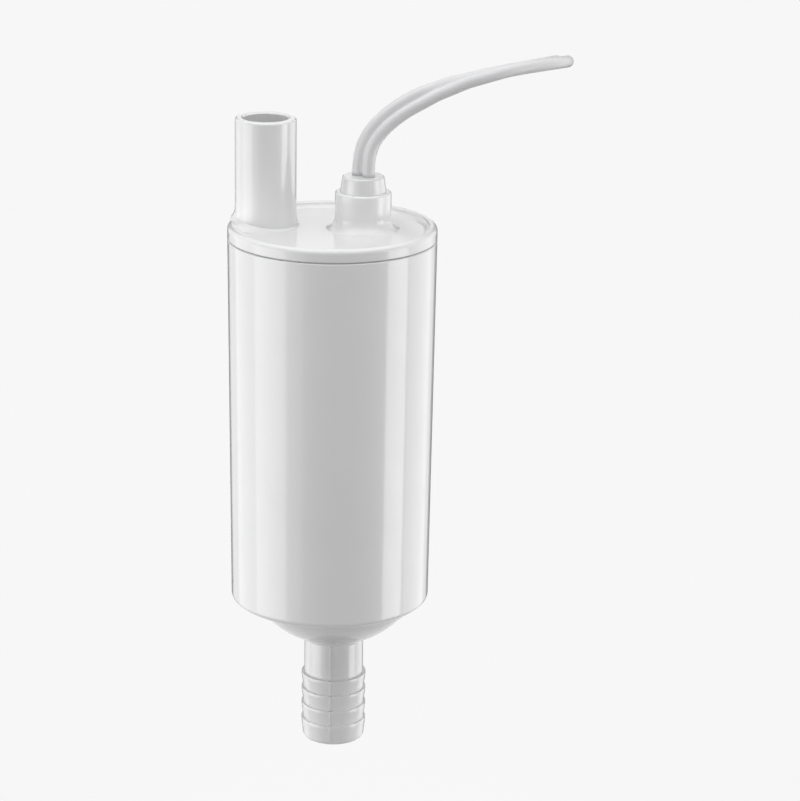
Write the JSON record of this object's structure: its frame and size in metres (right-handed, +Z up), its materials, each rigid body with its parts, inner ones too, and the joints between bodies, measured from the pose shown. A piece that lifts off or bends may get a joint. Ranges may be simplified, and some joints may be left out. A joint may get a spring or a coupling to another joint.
{
  "type": "inline pump",
  "caption": "Upright cylindrical inline water pump with a barbed inlet tail below, a plain outlet spout and a cable boss on its lid, and a twin flex led over to a tied hank.",
  "frame": {"origin": "on the inlet tail's axis, level with its lowest barb crest", "axes": "+Z up along the pump from the inlet to the outlet, +X to the right and +Y away from the viewer, with the outlet spout on the left"},
  "size_m": [0.0679, 0.0755, 0.1397],
  "materials": {
    "housing": "gloss",
    "grommet": "satin",
    "cord": "satin",
    "tie": "satin",
    "tinned_copper": "satin",
    "capsule": "satin",
    "impeller": "satin",
    "seal_rubber": "matte",
    "steel": "satin",
    "plated_can": "satin",
    "laminated_steel": "satin",
    "ferrite": "matte",
    "copper_wire": "gloss",
    "copper": "satin",
    "bronze": "satin",
    "brass": "satin",
    "carbon": "matte",
    "cap_plastic": "satin",
    "nylon": "satin"
  },
  "bodies": {
    "pump": {"case": "housing", "inlet_cover": "housing", "lid": "housing", "lid_seal": "seal_rubber", "cable_grommet": "grommet", "flow_guide": "capsule", "motor_capsule": "capsule", "capsule_cover": "capsule", "capsule_gasket": "seal_rubber", "neck_gasket": "seal_rubber", "shaft_seal": "seal_rubber", "seal_washer": "steel", "motor_can": "plated_can", "motor_end_cap": "cap_plastic", "magnets": "ferrite", "magnet_spring": "steel", "front_bush": "bronze", "rear_bush": "bronze", "carbon_brushes": "carbon", "brush_springs": "brass", "terminals": "brass", "inner_leads": "cord", "supply_cord": "cord", "cord_hank": "cord", "cord_tie": "tie", "conductor_ends": "tinned_copper"},
    "rotor": {"shaft": "steel", "impeller": "impeller", "armature_core": "laminated_steel", "armature_windings": "copper_wire", "commutator": "copper", "thrust_washer": "nylon"}
  },
  "joints": [
    {"name": "rotor_spin", "type": "hinge", "parent": "pump", "child": "rotor", "pos_m": [0, 0, 0.06], "axis": [0, 0, 1], "continuous": true}
  ]
}
